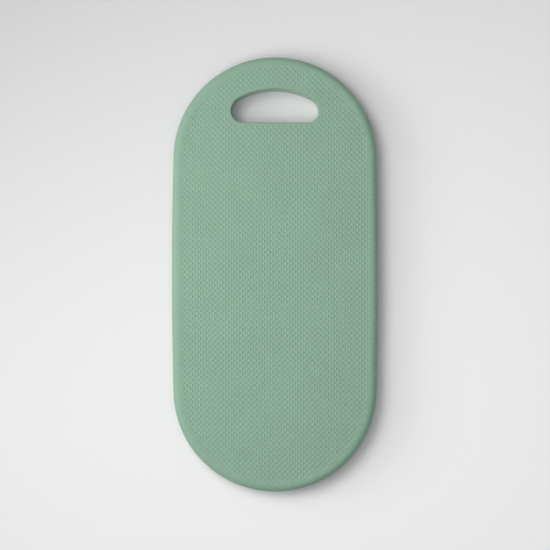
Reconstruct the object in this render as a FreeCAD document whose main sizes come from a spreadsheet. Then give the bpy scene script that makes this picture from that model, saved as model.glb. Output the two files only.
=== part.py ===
import FreeCAD, Part
import math
import os

import Sketcher
from FreeCAD import Vector

# A garden kneeling pad: a long slab of soft closed-cell foam with rounded ends, wrapped in two
# moulded skins that meet at a parting line round the side, with a hand slot near one end.
#
# Frame: the origin is on the ground under the middle of the pad, +X is across it, +Y runs
# towards the end with the hand slot and +Z is up. Lengths are in millimetres.

# Each driving dimension: its value and what it measures.
DIMENSIONS = {
    "pad_length": (432, "overall length, from tip to tip"),
    "pad_width": (205, "overall width at the middle; the long sides bow out very slightly"),
    "pad_thickness": (25, "overall thickness"),
    "end_radius": (101, "outline radius of the two rounded ends"),
    "parting_height": (12, "height of the line where the two skins meet"),
    "skin_thickness": (2, "thickness of the dense moulded skins"),
    "top_rounding": (7, "rounding of the outer edge on the kneeling side"),
    "ground_rounding": (6, "rounding of the outer edge on the ground side"),
    "slot_rounding": (1.2, "rounding of the skins' edges round the hand slot, on both sides"),
    "core_slot_rounding": (0.5, "rounding of the cushion's edges round the hand slot"),
    "slot_width": (87, "width of the hand slot between its side walls"),
    "slot_low_edge": (150.7, "from the middle of the pad to the straight edge of the slot"),
    "slot_wide_line": (162.2, "from the middle of the pad to the slot's widest line"),
    "slot_high_edge": (184.1, "from the middle of the pad to the top of the slot's arch"),
    "slot_shoulder": (14.5, "radius of the slot's two corners beside its arch"),
    "seam_chamfer": (0.5, "chamfer on both skins that leaves a fine groove where they meet"),
}

# How the sketcher numbers its own axes, its origin and the points of a curve.
X_AXIS = -1
Y_AXIS = -2
ORIGIN = (-1, 1)
START = 1
END = 2
CENTRE = 3

SLOT_MARGIN = 10
LEVEL_TOLERANCE = 1e-4

doc = FreeCAD.newDocument("kneeling_pad")

sheet = doc.addObject("Spreadsheet::Sheet", "dims")
for row, (alias, (value, note)) in enumerate(DIMENSIONS.items(), start=1):
    sheet.set(f"A{row}", alias)
    sheet.set(f"B{row}", str(value))
    sheet.set(f"C{row}", note)
    sheet.setAlias(f"B{row}", alias)
doc.recompute()


def size(alias):
    """A driving dimension, read back from the sheet, for the first guess of a sketch."""
    return float(sheet.get(alias))


# ---------------------------------------------------------------- sketches

def add_sketch(body, name, height):
    """A sketch parallel to the ground, at a height given as an expression of the sheet."""
    sketch = body.newObject("Sketcher::SketchObject", name)
    ground = [f for f in body.Origin.OriginFeatures if f.Role == "XY_Plane"][0]
    sketch.AttachmentSupport = [(ground, "")]
    sketch.MapMode = "FlatFace"
    sketch.setExpression("AttachmentOffset.Base.z", height)
    return sketch


def drive(sketch, constraint, name, expression):
    """Adds a dimension to a sketch and ties it to the sheet."""
    index = sketch.addConstraint(constraint)
    sketch.renameConstraint(index, name)
    sketch.setExpression(f"Constraints.{name}", expression)


def arc(centre, radius, first, last):
    circle = Part.Circle(Vector(*centre, 0), Vector(0, 0, 1), radius)
    return Part.ArcOfCircle(circle, first, last)


def mark_on(sketch, curve, axis, guess):
    """A construction point where a curve crosses one of the sketch's axes."""
    mark = sketch.addGeometry(Part.Point(Vector(*guess, 0)), True)
    sketch.addConstraint(Sketcher.Constraint("PointOnObject", mark, START, curve))
    sketch.addConstraint(Sketcher.Constraint("PointOnObject", mark, START, axis))
    return mark


def draw_outline(sketch, inset):
    """The pad's outline moved inwards by inset: two round ends joined by two very flat arcs."""
    half_width = size("pad_width") / 2
    end_radius = size("end_radius")
    end_centre = size("pad_length") / 2 - end_radius
    side_radius = (half_width**2 + end_centre**2 - end_radius**2) / (2 * (half_width - end_radius))
    side_centre = side_radius - half_width
    turn = math.atan2(end_centre, side_centre)

    right = sketch.addGeometry(arc((-side_centre, 0), side_radius, -turn, turn), False)
    top = sketch.addGeometry(arc((0, end_centre), end_radius, turn, math.pi - turn), False)
    left = sketch.addGeometry(
        arc((side_centre, 0), side_radius, math.pi - turn, math.pi + turn), False
    )
    low = sketch.addGeometry(
        arc((0, -end_centre), end_radius, math.pi + turn, 2 * math.pi - turn), False
    )

    sketch.addConstraint([
        Sketcher.Constraint("Tangent", right, END, top, START),
        Sketcher.Constraint("Coincident", top, END, left, START),
        Sketcher.Constraint("Coincident", left, END, low, START),
        Sketcher.Constraint("Coincident", low, END, right, START),
        Sketcher.Constraint("Symmetric", top, START, top, END, Y_AXIS),
        Sketcher.Constraint("Symmetric", right, START, right, END, X_AXIS),
        Sketcher.Constraint("Symmetric", left, START, left, END, X_AXIS),
        Sketcher.Constraint("Equal", right, left),
        Sketcher.Constraint("Equal", top, low),
    ])
    tip = mark_on(sketch, top, Y_AXIS, (0, size("pad_length") / 2))
    side = mark_on(sketch, right, X_AXIS, (half_width, 0))
    drive(
        sketch,
        Sketcher.Constraint("Radius", top, end_radius),
        "end_radius",
        f"dims.end_radius - {inset}",
    )
    drive(
        sketch,
        Sketcher.Constraint("DistanceY", *ORIGIN, tip, START, size("pad_length") / 2),
        "half_length",
        f"dims.pad_length / 2 - {inset}",
    )
    drive(
        sketch,
        Sketcher.Constraint("DistanceX", *ORIGIN, side, START, half_width),
        "half_width",
        f"dims.pad_width / 2 - {inset}",
    )


def draw_slot(sketch, inset):
    """The hand slot, made larger all round by inset: a straight edge under a low arch."""
    half_width = size("slot_width") / 2
    low_edge = size("slot_low_edge")
    wide_line = size("slot_wide_line")
    rise = size("slot_high_edge") - wide_line
    corner = wide_line - low_edge
    corner_x = half_width - corner
    shoulder = size("slot_shoulder")
    shoulder_x = half_width - shoulder
    arch_radius = (shoulder_x**2 + rise**2 - shoulder**2) / (2 * (rise - shoulder))
    arch_centre = wide_line + rise - arch_radius
    lean = math.atan2(wide_line - arch_centre, shoulder_x)
    quarter = math.pi / 2

    edge = sketch.addGeometry(
        Part.LineSegment(Vector(-corner_x, low_edge, 0), Vector(corner_x, low_edge, 0)), False
    )
    right_corner = sketch.addGeometry(arc((corner_x, wide_line), corner, -quarter, 0), False)
    right_shoulder = sketch.addGeometry(arc((shoulder_x, wide_line), shoulder, 0, lean), False)
    arch = sketch.addGeometry(arc((0, arch_centre), arch_radius, lean, math.pi - lean), False)
    left_shoulder = sketch.addGeometry(
        arc((-shoulder_x, wide_line), shoulder, math.pi - lean, math.pi), False
    )
    left_corner = sketch.addGeometry(
        arc((-corner_x, wide_line), corner, math.pi, math.pi + quarter), False
    )

    sketch.addConstraint([
        Sketcher.Constraint("Tangent", edge, END, right_corner, START),
        Sketcher.Constraint("Tangent", right_corner, END, right_shoulder, START),
        Sketcher.Constraint("Tangent", right_shoulder, END, arch, START),
        Sketcher.Constraint("Coincident", arch, END, left_shoulder, START),
        Sketcher.Constraint("Coincident", left_shoulder, END, left_corner, START),
        Sketcher.Constraint("Coincident", left_corner, END, edge, START),
        Sketcher.Constraint("Symmetric", edge, START, edge, END, Y_AXIS),
        Sketcher.Constraint("Symmetric", right_corner, END, left_corner, START, Y_AXIS),
        Sketcher.Constraint("Symmetric", arch, START, arch, END, Y_AXIS),
        Sketcher.Constraint("Equal", right_corner, left_corner),
        Sketcher.Constraint("Equal", right_shoulder, left_shoulder),
        Sketcher.Constraint("Horizontal", right_shoulder, CENTRE, right_shoulder, START),
    ])
    crown = mark_on(sketch, arch, Y_AXIS, (0, wide_line + rise))
    drive(
        sketch,
        Sketcher.Constraint("DistanceX", *ORIGIN, right_corner, END, half_width),
        "half_width",
        f"dims.slot_width / 2 + {inset}",
    )
    drive(
        sketch,
        Sketcher.Constraint("DistanceY", *ORIGIN, edge, END, low_edge),
        "low_edge",
        f"dims.slot_low_edge - {inset}",
    )
    drive(
        sketch,
        Sketcher.Constraint("DistanceY", *ORIGIN, right_corner, END, wide_line),
        "wide_line",
        "dims.slot_wide_line",
    )
    drive(
        sketch,
        Sketcher.Constraint("DistanceY", *ORIGIN, crown, START, wide_line + rise),
        "high_edge",
        f"dims.slot_high_edge + {inset}",
    )
    drive(
        sketch,
        Sketcher.Constraint("Radius", right_shoulder, shoulder),
        "shoulder",
        f"dims.slot_shoulder + {inset}",
    )


# ---------------------------------------------------------------- solids

def is_slot_edge(edge):
    """True for an edge that runs round the hand slot, and False for one round the outside."""
    box = edge.BoundBox
    narrow = box.XLength < size("slot_width") + SLOT_MARGIN
    return narrow and box.YMin > size("slot_low_edge") - SLOT_MARGIN


def edges_at(shape, height, at_slot):
    """Names of the flat edges at a height, either round the slot or round the outside."""
    names = []
    for number, edge in enumerate(shape.Edges, start=1):
        box = edge.BoundBox
        level = max(abs(box.ZMin - height), abs(box.ZMax - height)) < LEVEL_TOLERANCE
        if level and is_slot_edge(edge) == at_slot:
            names.append(f"Edge{number}")
    return names


def round_edges(body, kind, name, height, at_slot, size_name, expression):
    """Adds a Fillet or Chamfer along the flat edges at a height of the body's last feature."""
    base = body.Tip
    names = edges_at(base.Shape, height, at_slot)
    feature = body.newObject(f"PartDesign::{kind}", name)
    feature.Base = (base, names)
    feature.setExpression(size_name, expression)
    body.Tip = feature
    doc.recompute()
    if not names or feature.Shape.Volume >= base.Shape.Volume:
        raise RuntimeError(f"{name} removed nothing")


def slab(label, low, high, inset):
    """A body with the pad's outline and its hand slot, from one height to another."""
    body = doc.addObject("PartDesign::Body", label)
    body.Label = label
    outline = add_sketch(body, f"{label}_outline", low)
    draw_outline(outline, inset)
    doc.recompute()
    pad = body.newObject("PartDesign::Pad", f"{label}_pad")
    pad.Profile = outline
    pad.setExpression("Length", f"({high}) - ({low})")
    doc.recompute()

    slot = add_sketch(body, f"{label}_slot", low)
    draw_slot(slot, inset)
    doc.recompute()
    pocket = body.newObject("PartDesign::Pocket", f"{label}_pocket")
    pocket.Profile = slot
    pocket.Type = "ThroughAll"
    pocket.Reversed = True
    doc.recompute()
    if pocket.Shape.Volume >= pad.Shape.Volume:
        raise RuntimeError(f"the slot cut nothing from {label}")
    return body


thickness = size("pad_thickness")
parting = size("parting_height")
skin = size("skin_thickness")

# The soft cushion sealed inside the skins: the pad's own shape, smaller all round by one skin.
core = slab(
    "foam_core",
    "dims.skin_thickness",
    "dims.pad_thickness - dims.skin_thickness",
    "dims.skin_thickness",
)
for name, height, at_slot, radius in (
    ("top_edge", thickness - skin, False, "dims.top_rounding - dims.skin_thickness"),
    ("ground_edge", skin, False, "dims.ground_rounding - dims.skin_thickness"),
    ("slot_top_edge", thickness - skin, True, "dims.core_slot_rounding"),
    ("slot_ground_edge", skin, True, "dims.core_slot_rounding"),
):
    round_edges(core, "Fillet", f"core_{name}", height, at_slot, "Radius", radius)

# The outer form of the upper half, from the parting line to the kneeling face.
upper = slab("upper_form", "dims.parting_height", "dims.pad_thickness", "0")
round_edges(upper, "Fillet", "upper_rim", thickness, False, "Radius", "dims.top_rounding")
round_edges(upper, "Fillet", "upper_slot_rim", thickness, True, "Radius", "dims.slot_rounding")
round_edges(upper, "Chamfer", "upper_seam", parting, False, "Size", "dims.seam_chamfer")
round_edges(upper, "Chamfer", "upper_slot_seam", parting, True, "Size", "dims.seam_chamfer")

# The outer form of the lower half, from the ground to the parting line.
lower = slab("lower_form", "0", "dims.parting_height", "0")
round_edges(lower, "Fillet", "lower_rim", 0, False, "Radius", "dims.ground_rounding")
round_edges(lower, "Fillet", "lower_slot_rim", 0, True, "Radius", "dims.slot_rounding")
round_edges(lower, "Chamfer", "lower_seam", parting, False, "Size", "dims.seam_chamfer")
round_edges(lower, "Chamfer", "lower_slot_seam", parting, True, "Size", "dims.seam_chamfer")


def skin_over(label, form):
    """A moulded skin: an outer form with the cushion's own space taken out of it."""
    cut = doc.addObject("Part::Cut", label)
    cut.Label = label
    cut.Base = form
    cut.Tool = core
    return cut


nodes = [
    core,
    skin_over("top_skin", upper),
    skin_over("bottom_skin", lower),
]
doc.recompute()

# ---------------------------------------------------------------- checks and files

for item in doc.Objects:
    if "Invalid" in item.State or "Error" in item.State:
        raise RuntimeError(f"{item.Label} failed: {item.State}")

os.makedirs("parts", exist_ok=True)
for node in nodes:
    shape = node.Shape
    if shape.isNull() or not shape.isValid() or len(shape.Solids) != 1:
        raise RuntimeError(f"{node.Label} is not one valid solid")
    box = shape.optimalBoundingBox()
    print(
        f"{node.Label}: {shape.Volume / 1000:.1f} cm3, "
        f"x {box.XMin:.2f}..{box.XMax:.2f}, y {box.YMin:.2f}..{box.YMax:.2f}, "
        f"z {box.ZMin:.2f}..{box.ZMax:.2f}"
    )
    shape.exportStep(f"parts/{node.Label}.step")
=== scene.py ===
import math

import bmesh
import bpy
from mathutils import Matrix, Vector, noise
from mathutils.geometry import delaunay_2d_cdt


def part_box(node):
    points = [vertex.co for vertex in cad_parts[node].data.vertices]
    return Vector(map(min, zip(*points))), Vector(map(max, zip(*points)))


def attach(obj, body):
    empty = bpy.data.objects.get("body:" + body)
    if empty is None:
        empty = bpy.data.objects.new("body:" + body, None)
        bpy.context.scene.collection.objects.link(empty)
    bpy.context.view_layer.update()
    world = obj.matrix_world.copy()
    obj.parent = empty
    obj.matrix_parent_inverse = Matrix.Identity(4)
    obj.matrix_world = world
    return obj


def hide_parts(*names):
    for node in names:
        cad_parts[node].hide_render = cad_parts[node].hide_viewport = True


# A garden kneeling pad, lying flat: a foam cushion inside two moulded skins. Each skin is built
# from the grains that are embossed in it. They run out towards the rim and the hand slot, where
# smooth rings of mesh carry the skin round the edge and down to the parting line. Lengths are in
# metres, in the frame of the CAD model.

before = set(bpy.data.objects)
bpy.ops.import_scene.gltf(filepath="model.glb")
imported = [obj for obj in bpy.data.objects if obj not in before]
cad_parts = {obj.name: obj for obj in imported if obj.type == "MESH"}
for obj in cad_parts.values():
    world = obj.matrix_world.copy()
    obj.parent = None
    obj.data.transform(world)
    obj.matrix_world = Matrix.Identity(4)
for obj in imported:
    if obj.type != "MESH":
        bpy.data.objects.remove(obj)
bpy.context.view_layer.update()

MM = 0.001

# ---------------------------------------------------------------- sizes

upper_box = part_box("top_skin")
lower_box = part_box("bottom_skin")
core_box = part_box("foam_core")

TOP = upper_box[1][2]
PARTING = upper_box[0][2]
GROUND = lower_box[0][2]
SKIN = core_box[0][2] - GROUND

# The outline: two round ends joined by two very flat arcs.
HALF_WIDTH = 102.5 * MM
HALF_LENGTH = 216 * MM
END_RADIUS = 101 * MM
END_CENTRE = HALF_LENGTH - END_RADIUS
SIDE_RADIUS = (HALF_WIDTH**2 + END_CENTRE**2 - END_RADIUS**2) / (2 * (HALF_WIDTH - END_RADIUS))
SIDE_CENTRE = SIDE_RADIUS - HALF_WIDTH
SIDE_TURN = math.atan2(END_CENTRE, SIDE_CENTRE)

# The hand slot: a straight edge under a low arch.
SLOT_HALF_WIDTH = 43.5 * MM
SLOT_LOW = 150.7 * MM
SLOT_WIDE = 162.2 * MM
SLOT_RISE = 21.9 * MM
SLOT_SHOULDER = 14.5 * MM
SLOT_CORNER = SLOT_WIDE - SLOT_LOW
CORNER_X = SLOT_HALF_WIDTH - SLOT_CORNER
SHOULDER_X = SLOT_HALF_WIDTH - SLOT_SHOULDER
ARCH_RADIUS = (SHOULDER_X**2 + SLOT_RISE**2 - SLOT_SHOULDER**2) / (2 * (SLOT_RISE - SLOT_SHOULDER))
ARCH_CENTRE = SLOT_WIDE + SLOT_RISE - ARCH_RADIUS
ARCH_LEAN = math.atan2(SLOT_WIDE - ARCH_CENTRE, SHOULDER_X)

TOP_ROUNDING = 7 * MM
GROUND_ROUNDING = 6 * MM
SLOT_ROUNDING = 1.2 * MM
CORE_SLOT_ROUNDING = 0.5 * MM
CORE_SLOT_CORNER = SKIN + CORE_SLOT_ROUNDING

# The embossed grain: raised rice-shaped bumps in staggered rows.
GRAIN_STEP = 2.75 * MM
GRAIN_HALF_WIDTH = 1.0 * MM
GRAIN_HALF_LENGTH = 1.65 * MM
GRAIN_HEIGHT = 0.46 * MM
GRAIN_BROW = 0.6
GRAIN_BROW_HEIGHT = 0.78

# Moulded foam is never quite even: over these distances the grain's height changes by a part of
# itself, and the face sinks a little.
GRAIN_PATCH = 45 * MM
GRAIN_PATCH_DEPTH = 0.18
WAVE_LENGTH = 70 * MM
WAVE_DEPTH = 0.12 * MM

# Where in the noise the sinking starts, and how far apart the two faces are in it.
WAVE_NOISE = 7
FACE_NOISE = 100

# The grain runs out to nothing over these distances from the slot and the rim. At the rim it
# ends this far round the rounding, as a part of its radius.
SLOT_PLAIN = 5 * MM
RIM_PLAIN = 6 * MM
RIM_GRAIN_END = 0.3

# Whole grain cells stop this far short of an edge's first ring, and the strip that joins the two
# is narrower than STRIP_REACH.
CELL_GAP = 0.3 * MM
STRIP_REACH = 12 * MM

# The small rounded lip at the parting line, in rows of how far above the line and how far in,
# both as parts of its size.
LIP = 0.5 * MM
LIP_ROWS = ((1.2, 0), (0.5, 0.15), (0.12, 0.5), (0, 1))

# How many steps of rings go round the slot's rounding, the rim's and the hidden inner ones.
SLOT_RINGS = 5
RIM_RINGS = 9
INNER_RINGS = 6

# The spacing of points round an edge and over a hidden flat face, and how far the latter stay
# from the face's edges.
RING_STEP = 2.5 * MM
FILL_STEP = 9 * MM
FILL_GAP = FILL_STEP / 3

# The cushion keeps this far from the skins. Points closer than WELD become one, and triangles
# smaller than SLIVER are dropped.
CUSHION_GAP = 0.05 * MM
WELD = 0.01 * MM
SLIVER = 0.01 * MM * MM

# For the triangulation: fill out to the convex hull, and how close counts as the same place.
HULL_TRIANGLES = 0
SAME_PLACE = 1e-7

QUARTER = math.pi / 2


# ---------------------------------------------------------------- the two edges

def smooth(low, high, value):
    """0 below low, 1 above high and an even S between them."""
    t = min(max((value - low) / (high - low), 0.0), 1.0)
    return t * t * (3 - 2 * t)


def beyond_outline(x, y):
    """How far a point lies outside the pad's outline, and the direction outwards there."""
    side = Vector((abs(x) + SIDE_CENTRE, abs(y)))
    if math.atan2(side.y, side.x) < SIDE_TURN:
        away = side
        distance = side.length - SIDE_RADIUS
    else:
        away = Vector((abs(x), abs(y) - END_CENTRE))
        distance = away.length - END_RADIUS
    away.normalize()
    return distance, Vector((math.copysign(away.x, x), math.copysign(away.y, y)))


def beyond_slot(x, y):
    """How far a point lies inside the hand slot's hole, and the direction into the hole there."""
    across = abs(x)
    if y < SLOT_WIDE:
        if across < CORNER_X:
            return y - SLOT_LOW, Vector((0, 1))
        away = Vector((across - CORNER_X, y - SLOT_WIDE))
        radius = SLOT_CORNER
    else:
        away = Vector((across - SHOULDER_X, y - SLOT_WIDE))
        radius = SLOT_SHOULDER
        if math.atan2(away.y, away.x) > ARCH_LEAN:
            away = Vector((across, y - ARCH_CENTRE))
            radius = ARCH_RADIUS
    distance = radius - away.length
    away.normalize()
    return distance, Vector((-math.copysign(away.x, x), -away.y))


def walk(pieces, step):
    """Evenly spaced points along a closed outline of lines and arcs, with their normals.

    A line is (start, end, normal). An arc is (centre, radius, first angle, last angle, side),
    and side is 1 where the normal points away from its centre and -1 where it points at it.
    """
    points = []
    for piece in pieces:
        if len(piece) == 3:
            start, end, normal = (Vector(v) for v in piece)
            count = max(1, round((end - start).length / step))
            for i in range(count):
                points.append((start.lerp(end, i / count), normal.copy()))
        else:
            centre, radius, first, last, side = piece
            count = max(1, round(abs(last - first) * radius / step))
            for i in range(count):
                angle = first + (last - first) * i / count
                out = Vector((math.cos(angle), math.sin(angle)))
                points.append((Vector(centre) + radius * out, side * out))
    return points


OUTLINE = walk([
    ((-SIDE_CENTRE, 0), SIDE_RADIUS, -SIDE_TURN, SIDE_TURN, 1),
    ((0, END_CENTRE), END_RADIUS, SIDE_TURN, math.pi - SIDE_TURN, 1),
    ((SIDE_CENTRE, 0), SIDE_RADIUS, math.pi - SIDE_TURN, math.pi + SIDE_TURN, 1),
    ((0, -END_CENTRE), END_RADIUS, math.pi + SIDE_TURN, 2 * math.pi - SIDE_TURN, 1),
], RING_STEP)

SLOT_OUTLINE = walk([
    ((-CORNER_X, SLOT_LOW), (CORNER_X, SLOT_LOW), (0, 1)),
    ((CORNER_X, SLOT_WIDE), SLOT_CORNER, -QUARTER, 0, -1),
    ((SHOULDER_X, SLOT_WIDE), SLOT_SHOULDER, 0, ARCH_LEAN, -1),
    ((0, ARCH_CENTRE), ARCH_RADIUS, ARCH_LEAN, math.pi - ARCH_LEAN, -1),
    ((-SHOULDER_X, SLOT_WIDE), SLOT_SHOULDER, math.pi - ARCH_LEAN, math.pi, -1),
    ((-CORNER_X, SLOT_WIDE), SLOT_CORNER, math.pi, 3 * QUARTER, -1),
], RING_STEP / 2)[::-1]


# ---------------------------------------------------------------- a face and its rolled edges

class Side:
    """One face of the pad, which rolls over at the rim and at the slot down to the parting line.

    Its flat face is at height level, and down is -1 where its edges roll downwards and 1 where
    they roll upwards. A place on it is a point of a flat sheet, and roll() says where that
    point of the sheet lies once the sheet's edges are rolled over.
    """

    def __init__(self, level, down, rim):
        self.level = level
        self.down = down
        self.rim = rim
        self.wall = abs(PARTING - level)

    def past_edges(self, x, y):
        """How far a point is past the flat part at the rim and at the slot, with directions."""
        rim_distance, rim_out = beyond_outline(x, y)
        slot_distance, slot_out = beyond_slot(x, y)
        return rim_distance + self.rim, rim_out, slot_distance + SLOT_ROUNDING, slot_out

    def bend(self, foot, out, past, radius, inset):
        """The place of a point that is past the flat part by that much, measured on the skin."""
        reach = radius - inset
        roll = past / radius
        if roll < QUARTER:
            across = reach * math.sin(roll)
            fall = radius - reach * math.cos(roll)
        else:
            across = reach
            fall = radius + past - QUARTER * radius
        place = foot + out * across
        return Vector((place.x, place.y, self.level + self.down * fall))

    def roll(self, x, y, inset):
        """The place on the pad of a point of the flat sheet, set in from the surface."""
        rim_past, rim_out, slot_past, slot_out = self.past_edges(x, y)
        here = Vector((x, y))
        if rim_past > 0:
            return self.bend(here - rim_out * rim_past, rim_out, rim_past, self.rim, inset)
        if slot_past > 0:
            return self.bend(here - slot_out * slot_past, slot_out, slot_past, SLOT_ROUNDING, inset)
        return Vector((x, y, self.level + self.down * inset))

    def fade(self, x, y):
        """1 over most of the face, and down to 0 where the grain ends at the rim and the slot."""
        rim_past, _, slot_past, _ = self.past_edges(x, y)
        rim_fade = 1 - smooth(-RIM_PLAIN, RIM_GRAIN_END * self.rim, rim_past)
        return rim_fade * (1 - smooth(-SLOT_PLAIN, 0, slot_past))

    def depth(self, x, y):
        """How deep the ground between the grains lies."""
        layer = self.level * FACE_NOISE
        patch = noise.noise(Vector((x / GRAIN_PATCH, y / GRAIN_PATCH, layer)))
        return GRAIN_HEIGHT * self.fade(x, y) * (1 + GRAIN_PATCH_DEPTH * patch)

    def wave(self, x, y):
        """The slight unevenness of a soft moulded face, always inwards."""
        layer = WAVE_NOISE + self.level * FACE_NOISE
        value = noise.noise(Vector((x / WAVE_LENGTH, y / WAVE_LENGTH, layer)))
        return WAVE_DEPTH * self.fade(x, y) * (1 + value) / 2


class Builder:
    """Collects a mesh's faces and points, with each point's place on the flat sheet and its
    height on its grain."""

    def __init__(self, side):
        self.side = side
        self.points = []
        self.heights = []
        self.flat = []
        self.faces = []

    def add(self, place, flat, height=0.0):
        self.points.append(place)
        self.flat.append(flat)
        self.heights.append(height)
        return len(self.points) - 1

    def face(self, *corners):
        """Adds a face given anticlockwise as seen from above the top side."""
        self.faces.append(corners if self.side.down < 0 else tuple(reversed(corners)))

    def inner_face(self, *corners):
        """Adds a face that looks the other way, into the pad."""
        self.face(*reversed(corners))


def diamond_of(x, y):
    """The grain cell that holds a point: cells are diamonds about the staggered grid points."""
    total = round((x + y) / (2 * GRAIN_STEP))
    gap = round((x - y) / (2 * GRAIN_STEP))
    return total + gap, total - gap


def add_grains(mesh, rim_limit, slot_limit):
    """Covers the sheet with grains, and returns the cells used and the shared cell corners."""
    side = mesh.side
    corners = {}
    cells = set()
    reach_x = int((HALF_WIDTH + side.rim) / GRAIN_STEP) + 1
    reach_y = int((HALF_LENGTH + side.rim) / GRAIN_STEP) + 1

    def allowed(a, b):
        rim_past, _, slot_past, _ = side.past_edges(a * GRAIN_STEP, b * GRAIN_STEP)
        return rim_past < rim_limit and slot_past < slot_limit

    def corner(a, b):
        if (a, b) not in corners:
            x, y = a * GRAIN_STEP, b * GRAIN_STEP
            inset = side.depth(x, y) + side.wave(x, y)
            corners[a, b] = mesh.add(side.roll(x, y, inset), (x, y))
        return corners[a, b]

    outline = [
        (math.sin(turn), math.cos(turn)) for turn in (i * math.pi / 3 for i in range(6))
    ]
    for a in range(-reach_x, reach_x + 1):
        for b in range(-reach_y, reach_y + 1):
            around = [(a, b + 1), (a + 1, b), (a, b - 1), (a - 1, b)]
            if (a + b) % 2 or not all(allowed(*c) for c in around):
                continue
            cells.add((a, b))
            x, y = a * GRAIN_STEP, b * GRAIN_STEP
            north, east, south, west = (corner(*c) for c in around)
            depth = side.depth(x, y)
            rings = []
            for scale, height in ((1.0, 0.0), (GRAIN_BROW, GRAIN_BROW_HEIGHT)):
                ring = []
                for across, along in outline:
                    px = x + across * GRAIN_HALF_WIDTH * scale
                    py = y + along * GRAIN_HALF_LENGTH * scale
                    inset = side.depth(px, py) * (1 - height) + side.wave(px, py)
                    ring.append(mesh.add(side.roll(px, py, inset), (px, py), height))
                rings.append(ring)
            crown = mesh.add(side.roll(x, y, side.wave(x, y)), (x, y), 1.0)
            foot, brow = rings
            # the ring runs clockwise from the grain's north tip
            for corner_index, first, second in (
                (north, 0, 1), (east, 1, 2), (south, 2, 3), (south, 3, 4), (west, 4, 5), (north, 5, 0),
            ):
                mesh.face(corner_index, foot[first], foot[second])
            mesh.face(north, foot[1], east)
            mesh.face(east, foot[2], south)
            mesh.face(south, foot[4], west)
            mesh.face(west, foot[5], north)
            for i in range(6):
                j = (i + 1) % 6
                mesh.face(foot[i], brow[i], brow[j], foot[j])
                mesh.face(brow[i], crown, brow[j])
    return cells, corners


def cell_border(cells):
    """The cell edges that only one cell uses, as pairs of grid corners."""
    border = []
    for a, b in cells:
        for da, db, start, end in (
            (1, 1, (a, b + 1), (a + 1, b)),
            (1, -1, (a + 1, b), (a, b - 1)),
            (-1, -1, (a, b - 1), (a - 1, b)),
            (-1, 1, (a - 1, b), (a, b + 1)),
        ):
            if (a + da, b + db) not in cells:
                border.append((start, end))
    return border


def triangles(points, edges):
    """Triangles between flat points that keep the given edges, each with its middle."""
    out_points, _, out_faces, origins, _, _ = delaunay_2d_cdt(
        points, edges, [], HULL_TRIANGLES, SAME_PLACE
    )
    for face in out_faces:
        a, b, c = (out_points[i] for i in face)
        if abs((b - a).cross(c - a)) > SLIVER:
            yield [origins[i][0] for i in face], (a + b + c) / 3


def join_border(mesh, border, corners, cells, loop, keep):
    """Fills the gap between the last grain cells and a smooth loop with triangles."""
    names = sorted({point for pair in border for point in pair})
    place = {name: i for i, name in enumerate(names)}
    flat = [Vector((a * GRAIN_STEP, b * GRAIN_STEP)) for a, b in names]
    indices = [corners[name] for name in names]
    edges = [(place[start], place[end]) for start, end in border]
    base = len(flat)
    flat += [Vector(mesh.flat[i]) for i in loop]
    indices += loop
    edges += [(base + i, base + (i + 1) % len(loop)) for i in range(len(loop))]
    for triangle, middle in triangles(flat, edges):
        if diamond_of(middle.x, middle.y) not in cells and keep(middle.x, middle.y):
            mesh.face(*(indices[i] for i in triangle))


def ring_at(mesh, outline, radius, past, inset):
    """A ring of points all round an edge, past the flat part by that much."""
    side = mesh.side
    ring = []
    for wall_point, out in outline:
        foot = wall_point - out * radius
        flat = foot + out * past
        if past > 0:
            place = side.bend(foot, out, past, radius, inset)
        else:
            place = Vector((foot.x, foot.y, side.level + side.down * inset))
        ring.append(mesh.add(place, (flat.x, flat.y)))
    return ring


def bridge(first, second, add_face):
    """Joins two rings of equally many points with a band of faces."""
    for i in range(len(first)):
        j = (i + 1) % len(first)
        add_face(first[i], second[i], second[j], first[j])


def fill_flat(mesh, outer, hole, level_inset, add_face):
    """Fills the flat part between two loops with even triangles."""
    side = mesh.side
    flat = [Vector(mesh.flat[i]) for i in outer + hole]
    indices = outer + hole
    edges = [(i, (i + 1) % len(outer)) for i in range(len(outer))]
    base = len(outer)
    edges += [(base + i, base + (i + 1) % len(hole)) for i in range(len(hole))]
    count_x = int(HALF_WIDTH / FILL_STEP)
    count_y = int(HALF_LENGTH / FILL_STEP)
    for a in range(-count_x, count_x + 1):
        for b in range(-count_y, count_y + 1):
            x, y = (a + 0.5 * (b % 2)) * FILL_STEP, b * FILL_STEP
            rim_past, _, slot_past, _ = side.past_edges(x, y)
            if max(rim_past, slot_past) < -FILL_GAP:
                place = Vector((x, y, side.level + side.down * level_inset))
                flat.append(Vector((x, y)))
                indices.append(mesh.add(place, (x, y)))
    for triangle, middle in triangles(flat, edges):
        if beyond_slot(middle.x, middle.y)[0] < -CORE_SLOT_CORNER:
            add_face(*(indices[i] for i in triangle))


def inner_rings(mesh, outline, radius, inset):
    """The rings of the hidden inner surface, from the parting line up to the flat part."""
    side = mesh.side
    wall_past = side.wall - radius + QUARTER * radius
    turns = [QUARTER * radius * (1 - i / INNER_RINGS) for i in range(INNER_RINGS + 1)]
    return [ring_at(mesh, outline, radius, past, inset) for past in (wall_past, *turns)]


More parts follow.
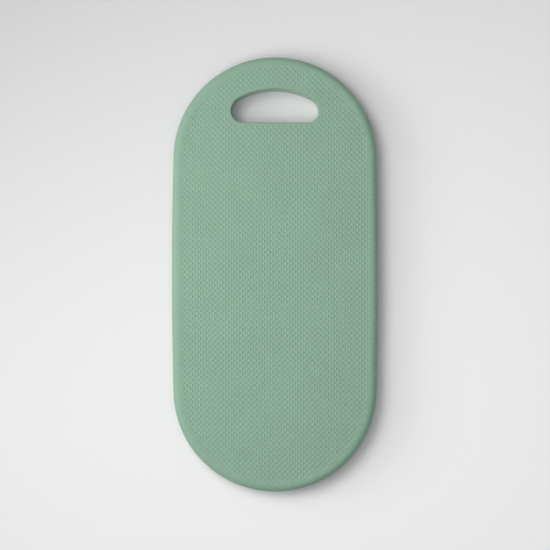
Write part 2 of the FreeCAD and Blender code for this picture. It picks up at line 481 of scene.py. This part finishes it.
def skin_mesh(name, side):
    """A moulded skin as one closed shell: grains, rolled edges, parting lip and inner surface."""
    mesh = Builder(side)
    rim_loop = RIM_GRAIN_END * side.rim
    cells, corners = add_grains(mesh, rim_loop - CELL_GAP, -CELL_GAP)
    border = cell_border(cells)

    def near_slot(point):
        return beyond_slot(point[0] * GRAIN_STEP, point[1] * GRAIN_STEP)[0] > -STRIP_REACH

    slot_turns = [QUARTER * SLOT_ROUNDING * i / SLOT_RINGS for i in range(SLOT_RINGS + 1)]
    rim_span = QUARTER * side.rim - rim_loop
    rim_turns = [rim_loop + rim_span * i / RIM_RINGS for i in range(RIM_RINGS + 1)]
    for outline, radius, inner_radius, turns, at_slot in (
        (OUTLINE, side.rim, side.rim, rim_turns, False),
        (SLOT_OUTLINE, SLOT_ROUNDING, CORE_SLOT_CORNER, slot_turns, True),
    ):
        wall_past = side.wall - radius + QUARTER * radius
        outer = ring_at(mesh, outline, radius, turns[0], 0)
        pairs = [pair for pair in border if near_slot(pair[0]) == at_slot]

        def in_strip(x, y):
            rim_past, _, slot_past, _ = side.past_edges(x, y)
            return slot_past < 0 if at_slot else rim_past > -STRIP_REACH

        join_border(mesh, pairs, corners, cells, outer, in_strip)

        # the rest of the rounding, the wall and its lip, and then the hidden inner surface
        for past, inset in (
            *((turn, 0) for turn in turns[1:]),
            ((QUARTER * radius + wall_past) / 2, 0),
            *((wall_past - above * LIP, inward * LIP) for above, inward in LIP_ROWS),
        ):
            following = ring_at(mesh, outline, radius, past, inset)
            bridge(outer, following, mesh.face)
            outer = following
        for following in inner_rings(mesh, outline, inner_radius, SKIN):
            bridge(outer, following, mesh.face)
            outer = following
        if at_slot:
            fill_flat(mesh, rim_inner, outer, SKIN, mesh.inner_face)
        rim_inner = outer
    return make_object(name, mesh)


def cushion_mesh(name, sides, inset):
    """The cushion inside the skins: both rounded faces and the slot, as one closed form."""
    shell = bmesh.new()
    for side in sides:
        half = Builder(side)
        loops = []
        for outline, radius in ((OUTLINE, side.rim), (SLOT_OUTLINE, CORE_SLOT_CORNER)):
            rings = inner_rings(half, outline, radius, inset)[::-1]
            for first, second in zip(rings, rings[1:]):
                bridge(first, second, half.face)
            loops.append(rings[0])
        fill_flat(half, loops[0], loops[1], inset, half.face)
        points = [shell.verts.new(place) for place in half.points]
        for face in half.faces:
            shell.faces.new([points[i] for i in face])
    bmesh.ops.remove_doubles(shell, verts=shell.verts, dist=WELD)
    data = bpy.data.meshes.new(name)
    shell.to_mesh(data)
    shell.free()
    return link_smooth(name, data)


def link_smooth(name, data):
    """Puts a mesh into the scene as a smooth-shaded object."""
    data.polygons.foreach_set("use_smooth", [True] * len(data.polygons))
    data.update()
    item = bpy.data.objects.new(name, data)
    bpy.context.collection.objects.link(item)
    return item


def make_object(name, mesh):
    """Turns a Builder into an object whose points keep their height on the grain."""
    data = bpy.data.meshes.new(name)
    data.from_pydata([tuple(p) for p in mesh.points], [], mesh.faces)
    height = data.attributes.new("grain", "FLOAT", "POINT")
    height.data.foreach_set("value", mesh.heights)
    return link_smooth(name, data)


# ---------------------------------------------------------------- materials

# Scales are in waves or cells per metre. Noise values mostly lie within NOISE_SPAN, and a pore's
# wall is PORE_WALL from its middle. The other pairs are what the noise is spread over.
NOISE_SPAN = (0.3, 0.7)
FINE_DETAIL = 3.0
MOTTLE_SCALE = 28.0
MOTTLE = (0.975, 1.025)
SPECKLE_SCALE = 2600.0
SPECKLE = (0.97, 1.03)
FINISH_SCALE = 900.0
FINISH_ROUGHNESS = (0.58, 0.74)
PORE_WALL = 0.55
PORE_STRENGTH = 0.35
SOFT_SCALE = 350.0
SOFT_STRENGTH = 0.3
SOFT_DEPTH = 0.3 * MM
FOAM_SPECULAR = 0.35
FOAM_SHEEN = 0.3
FOAM_SHEEN_ROUGHNESS = 0.4
FOAM_SHEEN_TINT = (0.8, 0.95, 0.87, 1.0)

class Nodes:
    """A short way to write a material's node tree."""

    def __init__(self, name):
        self.material = bpy.data.materials.new(name)
        self.material.use_nodes = True
        self.tree = self.material.node_tree
        self.shader = self.tree.nodes["Principled BSDF"]
        self.object_space = self.add("ShaderNodeTexCoord").outputs["Object"]

    def add(self, kind, **settings):
        node = self.tree.nodes.new(kind)
        for key, value in settings.items():
            if hasattr(node, key):
                setattr(node, key, value)
            else:
                node.inputs[key.replace("_", " ")].default_value = value
        return node

    def link(self, output, target):
        self.tree.links.new(output, target)

    def noise(self, scale, detail=2.0, roughness=0.5):
        node = self.add("ShaderNodeTexNoise", Scale=scale, Detail=detail, Roughness=roughness)
        self.link(self.object_space, node.inputs["Vector"])
        return node.outputs["Fac"]

    def cells(self, scale):
        node = self.add("ShaderNodeTexVoronoi", Scale=scale)
        self.link(self.object_space, node.inputs["Vector"])
        return node.outputs["Distance"]

    def spread(self, value, low, high, from_low=0.0, from_high=1.0):
        """Maps a value from one range to another, clamped."""
        node = self.add("ShaderNodeMapRange", clamp=True)
        node.inputs["From Min"].default_value = from_low
        node.inputs["From Max"].default_value = from_high
        node.inputs["To Min"].default_value = low
        node.inputs["To Max"].default_value = high
        self.link(value, node.inputs["Value"])
        return node.outputs["Result"]

    def product(self, first, second):
        node = self.add("ShaderNodeMath", operation="MULTIPLY")
        self.link(first, node.inputs[0])
        self.link(second, node.inputs[1])
        return node.outputs["Value"]

    def shaded(self, color, factor):
        """A colour made lighter or darker by a factor that varies over the surface."""
        node = self.add("ShaderNodeVectorMath", operation="SCALE")
        node.inputs[0].default_value = color
        self.link(factor, node.inputs["Scale"])
        return node.outputs["Vector"]


def foam_material(name, color, pore_scale, pore_depth, hollow_shade):
    """Moulded closed-cell foam: tiny pores, faint mottling, and painted shade on the ground between
    grains.
    """
    nodes = Nodes(name)
    grain = nodes.add("ShaderNodeAttribute", attribute_name="grain").outputs["Fac"]
    mottle = nodes.spread(nodes.noise(MOTTLE_SCALE, FINE_DETAIL), *MOTTLE, *NOISE_SPAN)
    speckle = nodes.spread(nodes.noise(SPECKLE_SCALE), *SPECKLE, *NOISE_SPAN)
    # painted shade: the colour is darkened on the ground between grains, following the grain height
    # attribute
    painted_hollow_shade = nodes.spread(grain, 1.0 - hollow_shade, 1.0)
    tint = nodes.product(nodes.product(mottle, speckle), painted_hollow_shade)
    nodes.link(nodes.shaded(color, tint), nodes.shader.inputs["Base Color"])
    finish_noise = nodes.noise(FINISH_SCALE, FINE_DETAIL)
    finish = nodes.spread(finish_noise, *FINISH_ROUGHNESS, *NOISE_SPAN)
    nodes.link(finish, nodes.shader.inputs["Roughness"])

    pores = nodes.spread(nodes.cells(pore_scale), 0.0, 1.0, 0.0, PORE_WALL)
    bump = nodes.add("ShaderNodeBump", Strength=PORE_STRENGTH, Distance=pore_depth)
    nodes.link(pores, bump.inputs["Height"])
    softness = nodes.add("ShaderNodeBump", Strength=SOFT_STRENGTH, Distance=SOFT_DEPTH)
    nodes.link(nodes.noise(SOFT_SCALE), softness.inputs["Height"])
    nodes.link(bump.outputs["Normal"], softness.inputs["Normal"])
    nodes.link(softness.outputs["Normal"], nodes.shader.inputs["Normal"])

    nodes.shader.inputs["Specular IOR Level"].default_value = FOAM_SPECULAR
    nodes.shader.inputs["Sheen Weight"].default_value = FOAM_SHEEN
    nodes.shader.inputs["Sheen Roughness"].default_value = FOAM_SHEEN_ROUGHNESS
    nodes.shader.inputs["Sheen Tint"].default_value = FOAM_SHEEN_TINT
    return nodes.material


def floor_material():
    """A plain matte surface whose tone changes a little across the frame and along it, as painted
    light and shade for the uneven light on the backdrop.
    """
    nodes = Nodes("pale_floor")
    split = nodes.add("ShaderNodeSeparateXYZ")
    nodes.link(nodes.object_space, split.inputs["Vector"])
    reach = FRAME_WIDTH / 2
    across = nodes.spread(split.outputs["X"], -FLOOR_LIGHT_ACROSS, FLOOR_LIGHT_ACROSS, -reach, reach)
    along = nodes.spread(split.outputs["Y"], -FLOOR_LIGHT_ALONG, FLOOR_LIGHT_ALONG, -reach, reach)
    # painted light and shade: the floor's tone rises and falls towards the frame's edges in place of
    # uneven light
    painted_light_drift = nodes.add("ShaderNodeMath", operation="ADD")
    nodes.link(across, painted_light_drift.inputs[0])
    nodes.link(along, painted_light_drift.inputs[1])
    tone = nodes.add("ShaderNodeMath", operation="ADD")
    tone.inputs[1].default_value = FLOOR_TONE
    nodes.link(painted_light_drift.outputs["Value"], tone.inputs[0])
    grey = nodes.shaded((1.0, 1.0, 1.0), tone.outputs["Value"])
    nodes.link(grey, nodes.shader.inputs["Base Color"])
    nodes.shader.inputs["Roughness"].default_value = FLOOR_ROUGHNESS
    nodes.shader.inputs["Specular IOR Level"].default_value = FLOOR_SPECULAR
    return nodes.material


# ---------------------------------------------------------------- the pad

# Pores are in cells per metre, and the skin's hollow figure is how much painted shade darkens the
# ground between grains.
SKIN_COLOR = (0.205, 0.336, 0.251)
SKIN_PORES = 2200.0
SKIN_PORE_DEPTH = 0.12 * MM
SKIN_HOLLOW_SHADE = 0.1
CUSHION_COLOR = (0.22, 0.36, 0.27)
CUSHION_PORES = 900.0
CUSHION_PORE_DEPTH = 0.4 * MM

top_side = Side(TOP, -1, TOP_ROUNDING)
ground_side = Side(GROUND, 1, GROUND_ROUNDING)

kneeling_skin = skin_mesh("kneeling_face_skin", top_side)
ground_skin = skin_mesh("ground_face_skin", ground_side)
cushion = cushion_mesh("cushion_foam", (top_side, ground_side), SKIN + CUSHION_GAP)

skin_material = foam_material(
    "moulded_foam_skin", SKIN_COLOR, SKIN_PORES, SKIN_PORE_DEPTH, SKIN_HOLLOW_SHADE
)
cushion_material = foam_material(
    "cut_cell_foam", CUSHION_COLOR, CUSHION_PORES, CUSHION_PORE_DEPTH, 0.0
)

for piece, node, slot_name, material in (
    (kneeling_skin, "top_skin", "skin", skin_material),
    (ground_skin, "bottom_skin", "skin", skin_material),
    (cushion, "foam_core", "cushion_foam", cushion_material),
):
    piece.data.materials.append(material)
    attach(piece, "root")
    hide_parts(node)


# ---------------------------------------------------------------- floor, light and camera

# The frame's width is measured at the pad's widest outline, where the upper rounding begins. The
# floor's tone is that much higher at the frame's +X and +Y edges than in the middle: painted light and
# shade.
FRAME_WIDTH = 0.5472
OUTLINE_HEIGHT = 18 * MM
FLOOR_SIZE = 6.0
FLOOR_TONE = 0.665
FLOOR_LIGHT_ACROSS = 0.135
FLOOR_LIGHT_ALONG = -0.075
FLOOR_ROUGHNESS = 0.9
FLOOR_SPECULAR = 0.1

# The softboxes: name, place, width, height and power in watts.
SOFTBOXES = (
    ("near_box", (-0.34, -0.06, 0.7), 0.45, 1.3, 5.1),
    ("key_box", (-0.50, 0.42, 1.2), 0.6, 0.6, 6.6),
    ("low_box", (-1.3, 0.2, 0.6), 0.8, 0.5, 6.6),
)
WORLD_LIGHT = 0.32

bpy.ops.mesh.primitive_plane_add(size=FLOOR_SIZE, location=(0, 0, GROUND))
floor = bpy.context.object
floor.name = "floor"
floor.data.materials.append(floor_material())


def soft_light(name, place, width, height, watts):
    """A softbox that faces the middle of the pad."""
    light = bpy.data.lights.new(name, "AREA")
    light.shape = "RECTANGLE"
    light.size = width
    light.size_y = height
    light.energy = watts
    item = bpy.data.objects.new(name, light)
    item.location = place
    item.rotation_euler = (-Vector(place)).to_track_quat("-Z", "Y").to_euler()
    item.visible_camera = False
    bpy.context.collection.objects.link(item)


for softbox in SOFTBOXES:
    soft_light(*softbox)

world = bpy.data.worlds.new("studio")
world.use_nodes = True
background = world.node_tree.nodes["Background"]
background.inputs["Color"].default_value = (1.0, 1.0, 1.0, 1.0)
background.inputs["Strength"].default_value = WORLD_LIGHT
bpy.context.scene.world = world
bpy.context.scene.view_settings.view_transform = "Standard"

# The camera looks straight down, this far above the pad's widest outline.
CAMERA_HEIGHT = 1.5
CAMERA_ALONG = -0.5 * MM
lens = bpy.data.cameras.new("camera")
lens.lens = lens.sensor_width * CAMERA_HEIGHT / FRAME_WIDTH
camera = bpy.data.objects.new("camera", lens)
camera.location = (0, CAMERA_ALONG, CAMERA_HEIGHT + OUTLINE_HEIGHT)
bpy.context.collection.objects.link(camera)
bpy.context.scene.camera = camera
